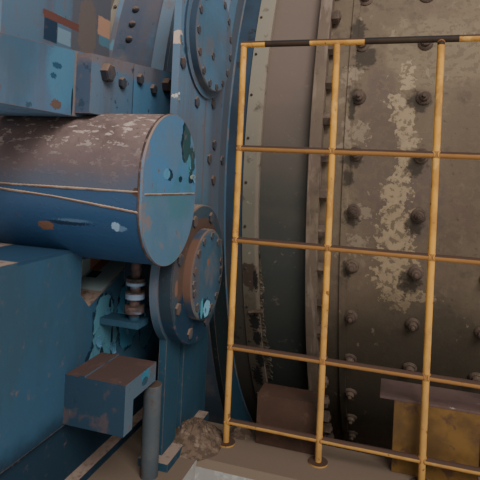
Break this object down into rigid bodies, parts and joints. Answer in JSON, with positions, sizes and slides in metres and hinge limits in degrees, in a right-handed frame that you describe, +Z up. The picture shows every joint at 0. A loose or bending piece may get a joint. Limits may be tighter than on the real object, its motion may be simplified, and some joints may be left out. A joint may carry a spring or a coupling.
{
  "type": "ball mill drive end",
  "caption": "Drive end of a large ball mill: turning shell with joint flanges and running bands, round guard, pinion frame, trunnion bearing, tube fence and concrete plinths.",
  "frame": {"origin": "ground level under the mill axis, in line with the pinion frame's right face", "axes": "+X along the mill axis towards the open end of the shell, -Y towards the pinion frame and the fence, +Z up"},
  "size_m": [6.02, 8.22, 6.64],
  "materials": {
    "concrete": "rough",
    "blue_paint": "satin",
    "navy_paint": "satin",
    "seal_paint": "satin",
    "dusty_beam": "matte",
    "rusty_steel": "matte",
    "shell_steel": "matte",
    "band_steel": "satin",
    "liner_steel": "rough",
    "machined_steel": "satin",
    "yellow_paint": "satin"
  },
  "bodies": {
    "frame": {"raft": "concrete", "front_plinth": "concrete", "rear_plinth": "concrete", "fence_wall": "concrete", "bearing_plinth": "concrete", "guard_saddle": "concrete", "guard_upper": "blue_paint", "guard_lower": "blue_paint", "side_plate_right": "blue_paint", "side_plate_left": "blue_paint", "guard_necks": "navy_paint", "seal_clamps": "seal_paint", "rear_bracket": "blue_paint", "pinion_housing": "blue_paint", "frame_plate_right": "blue_paint", "frame_plate_left": "blue_paint", "bolted_pad": "blue_paint", "cross_beam": "dusty_beam", "beam_caps": "blue_paint", "lower_housing": "blue_paint", "lower_cover": "blue_paint", "upper_housing": "blue_paint", "upper_cover": "blue_paint", "lower_sleeve": "navy_paint", "upper_sleeve": "navy_paint", "support_bracket": "blue_paint", "adjusting_screw": "rusty_steel", "stub_post": "seal_paint", "kerb_block": "rusty_steel", "yellow_box": "yellow_paint", "tread_plate": "rusty_steel", "fence_panel_1": "yellow_paint", "fence_panel_2": "yellow_paint", "bearing_base": "blue_paint", "bearing_cap": "blue_paint"},
    "mill": {"mill_shell": "shell_steel", "shell_liners": "liner_steel", "mill_head": "shell_steel", "head_liners": "liner_steel", "trunnion": "machined_steel", "running_bands": "band_steel", "drive_flange": "shell_steel", "shell_flange": "shell_steel", "butt_strap": "shell_steel", "end_flange": "shell_steel"}
  },
  "joints": [
    {"name": "mill_spin", "type": "hinge", "parent": "frame", "child": "mill", "pos_m": [0, 0, 3.6], "axis": [1, 0, 0], "continuous": true}
  ]
}
